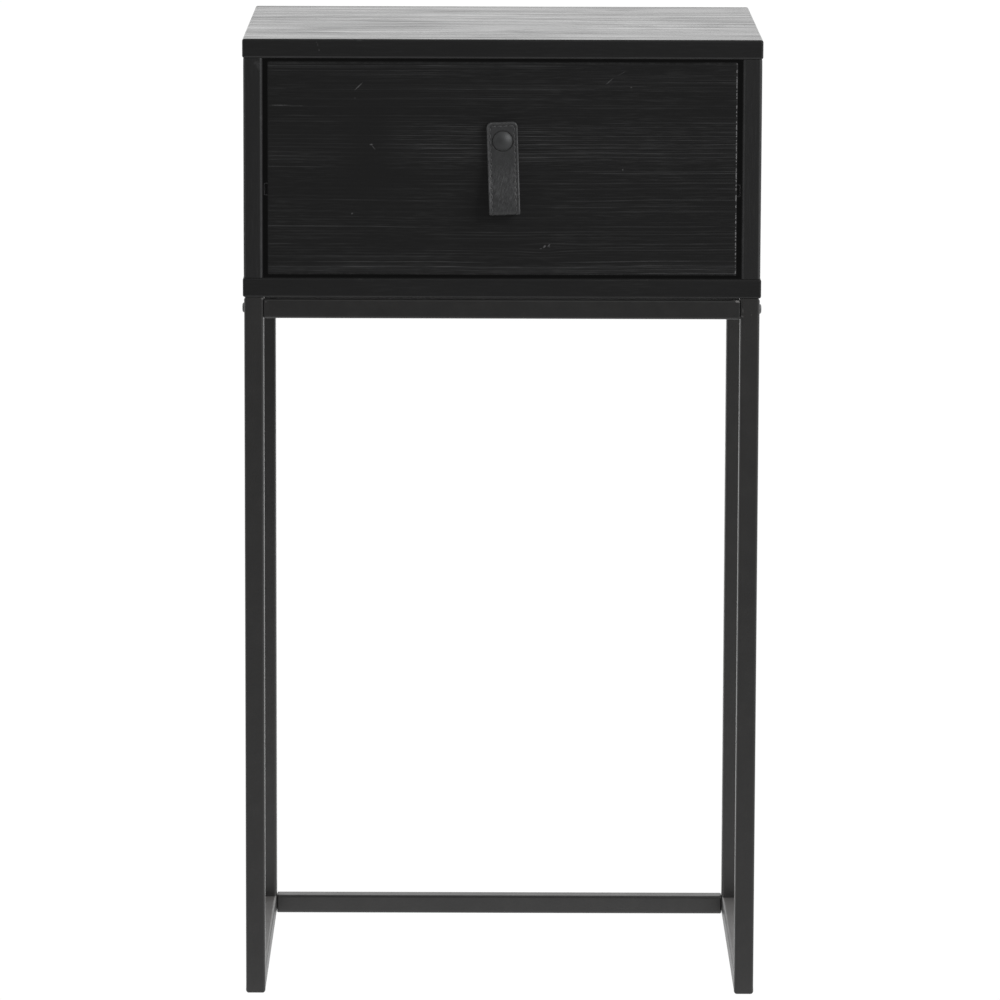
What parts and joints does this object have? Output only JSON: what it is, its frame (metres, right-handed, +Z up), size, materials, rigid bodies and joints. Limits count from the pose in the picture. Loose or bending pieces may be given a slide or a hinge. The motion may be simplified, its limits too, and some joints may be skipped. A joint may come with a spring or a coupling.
{
  "type": "side table with drawer",
  "caption": "Small tall side table: brushed black pine box with a drawer and leather strap pull, on a slim square-tube steel frame.",
  "frame": {"origin": "middle of the overall footprint, pull and bolt heads included, on the floor", "axes": "+Z up, -Y towards the drawer front, +X to the right when facing the drawer front"},
  "size_m": [0.4012, 0.31, 0.75],
  "materials": {
    "black_pine": "black stained, brushed grain, matt",
    "drawer_box": "black stained, matt",
    "hardboard": "black painted hardboard",
    "powder_coat": "black powder coat, satin",
    "black_fastener": "blackened steel",
    "slide_steel": "black zinc plated",
    "slide_cage": "black acetal with steel balls",
    "strap_leather": "anthracite, fine grain",
    "stud_metal": "gunmetal",
    "beech_dowel": "plain"
  },
  "bodies": {
    "table": {"back_panel": "hardboard", "bottom_panel": "black_pine", "carcass_screw_front_left": "black_fastener", "carcass_screw_front_right": "black_fastener", "carcass_screw_rear_left": "black_fastener", "carcass_screw_rear_right": "black_fastener", "cross_rail_front_top": "powder_coat", "cross_rail_rear_bottom": "powder_coat", "cross_rail_rear_top": "powder_coat", "dowel_bottom_front_left": "beech_dowel", "dowel_bottom_front_right": "beech_dowel", "dowel_bottom_rear_left": "beech_dowel", "dowel_bottom_rear_right": "beech_dowel", "dowel_top_front_left": "beech_dowel", "dowel_top_front_right": "beech_dowel", "dowel_top_rear_left": "beech_dowel", "dowel_top_rear_right": "beech_dowel", "foot_rail_left": "powder_coat", "foot_rail_right": "powder_coat", "frame_bolt_front_top_left": "black_fastener", "frame_bolt_front_top_right": "black_fastener", "frame_bolt_rear_bottom_left": "black_fastener", "frame_bolt_rear_bottom_right": "black_fastener", "frame_bolt_rear_top_left": "black_fastener", "frame_bolt_rear_top_right": "black_fastener", "front_leg_left": "powder_coat", "front_leg_right": "powder_coat", "rear_leg_left": "powder_coat", "rear_leg_right": "powder_coat", "side_panel_left": "black_pine", "side_panel_right": "black_pine", "slide_channel_left": "slide_steel", "slide_channel_right": "slide_steel", "slide_channel_screw_front_left": "black_fastener", "slide_channel_screw_front_right": "black_fastener", "slide_channel_screw_rear_left": "black_fastener", "slide_channel_screw_rear_right": "black_fastener", "top_panel": "black_pine", "top_rail_left": "powder_coat", "top_rail_right": "powder_coat"},
    "drawer": {"drawer_back": "drawer_box", "drawer_bottom": "hardboard", "drawer_front": "black_pine", "drawer_side_left": "drawer_box", "drawer_side_right": "drawer_box", "pull_screw": "black_fastener", "pull_strap_head": "strap_leather", "pull_stud": "stud_metal", "slide_bar_left": "slide_steel", "slide_bar_right": "slide_steel", "slide_bar_screw_front_left": "black_fastener", "slide_bar_screw_front_right": "black_fastener", "slide_bar_screw_rear_left": "black_fastener", "slide_bar_screw_rear_right": "black_fastener"},
    "pull_loop": {"pull_strap_loop": "strap_leather"},
    "slide_cage_left_body": {"slide_cage_left": "slide_cage"},
    "slide_cage_right_body": {"slide_cage_right": "slide_cage"}
  },
  "joints": [
    {"name": "drawer_slide", "type": "slide", "parent": "table", "child": "drawer", "axis": [0, -1, 0], "range_m": [0, 0.19]},
    {"name": "slide_cage_left_run", "type": "slide", "parent": "table", "child": "slide_cage_left_body", "axis": [0, -1, 0], "range_m": [0, 0.095]},
    {"name": "slide_cage_right_run", "type": "slide", "parent": "table", "child": "slide_cage_right_body", "axis": [0, -1, 0], "range_m": [0, 0.095]},
    {"name": "pull_swing", "type": "hinge", "parent": "drawer", "child": "pull_loop", "pos_m": [0.00052, -0.146, 0.65701], "axis": [-0.9994, 0, -0.0346], "range_deg": [0, 70]}
  ],
  "couplings": [
    {"joint": "slide_cage_left_run", "follows": "drawer_slide", "ratio": 0.5},
    {"joint": "slide_cage_right_run", "follows": "drawer_slide", "ratio": 0.5}
  ]
}
